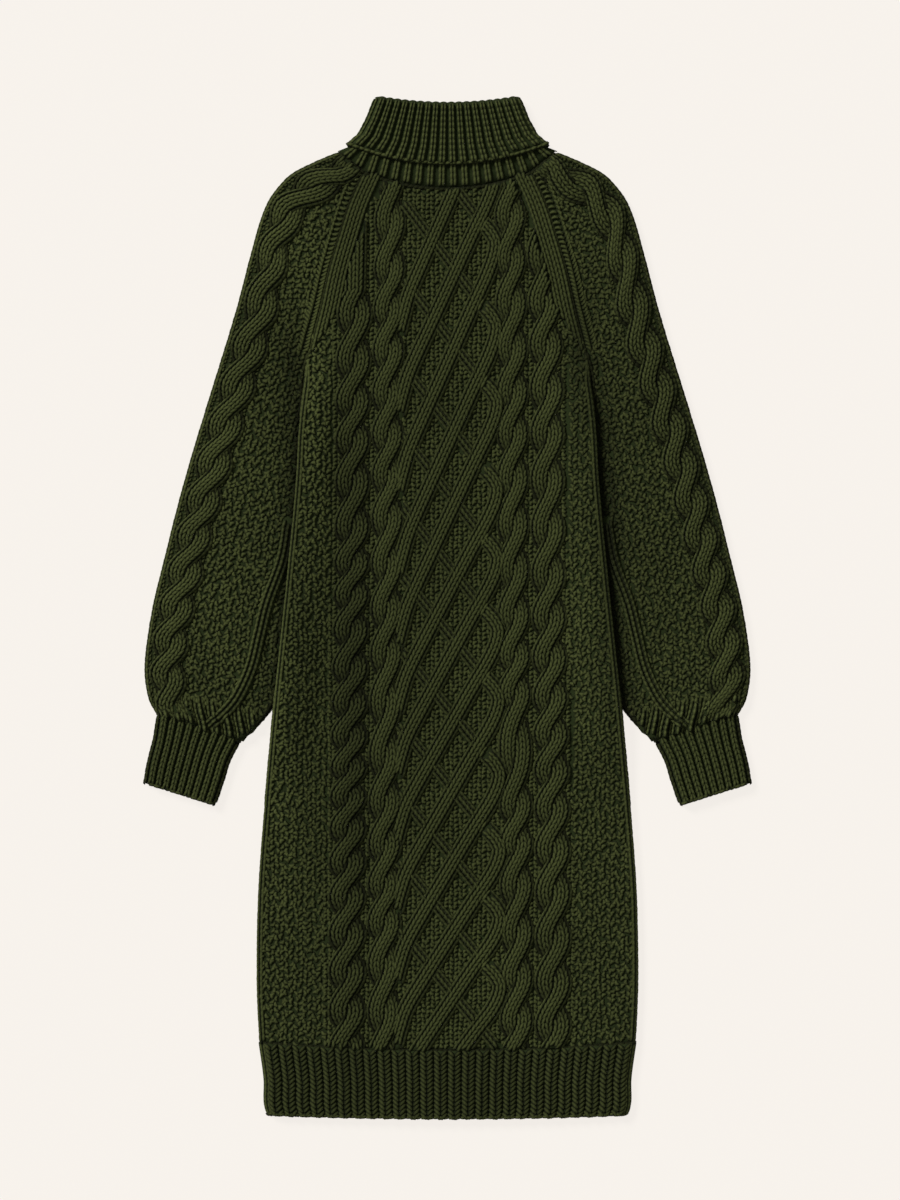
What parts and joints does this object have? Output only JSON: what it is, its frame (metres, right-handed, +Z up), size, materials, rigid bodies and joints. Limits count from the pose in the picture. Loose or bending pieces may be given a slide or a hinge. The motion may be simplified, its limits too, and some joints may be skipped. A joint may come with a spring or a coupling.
{
  "type": "sweater dress",
  "caption": "Chunky cable-knit sweater dress with a turned-over roll neck, raglan bishop sleeves and ribbed cuffs and hem, laid flat on its back.",
  "frame": {"origin": "under the middle of the dress's outline, on the surface that the dress lies on", "axes": "+X towards the wearer's left, +Y from the hem to the neck, +Z up from the surface, out of the front of the dress"},
  "size_m": [0.7272, 1.2238, 0.0187],
  "materials": {
    "front": "matte brushed wool, cable knit, dark olive green",
    "back": "matte brushed wool, moss knit, dark olive green",
    "hem_front": "matte brushed wool, rib knit, dark olive green",
    "hem_back": "matte brushed wool, rib knit, dark olive green",
    "sleeve_left": "matte brushed wool, cable and moss knit, dark olive green",
    "sleeve_right": "matte brushed wool, cable and moss knit, dark olive green",
    "cuff_left": "matte brushed wool, rib knit, dark olive green",
    "cuff_right": "matte brushed wool, rib knit, dark olive green",
    "collar": "matte brushed wool, rib knit, dark olive green"
  },
  "bodies": {
    "root": {"front": "front", "back": "back", "hem_front": "hem_front", "hem_back": "hem_back", "sleeve_left": "sleeve_left", "sleeve_right": "sleeve_right", "cuff_left": "cuff_left", "cuff_right": "cuff_right", "collar": "collar"}
  },
  "joints": []
}
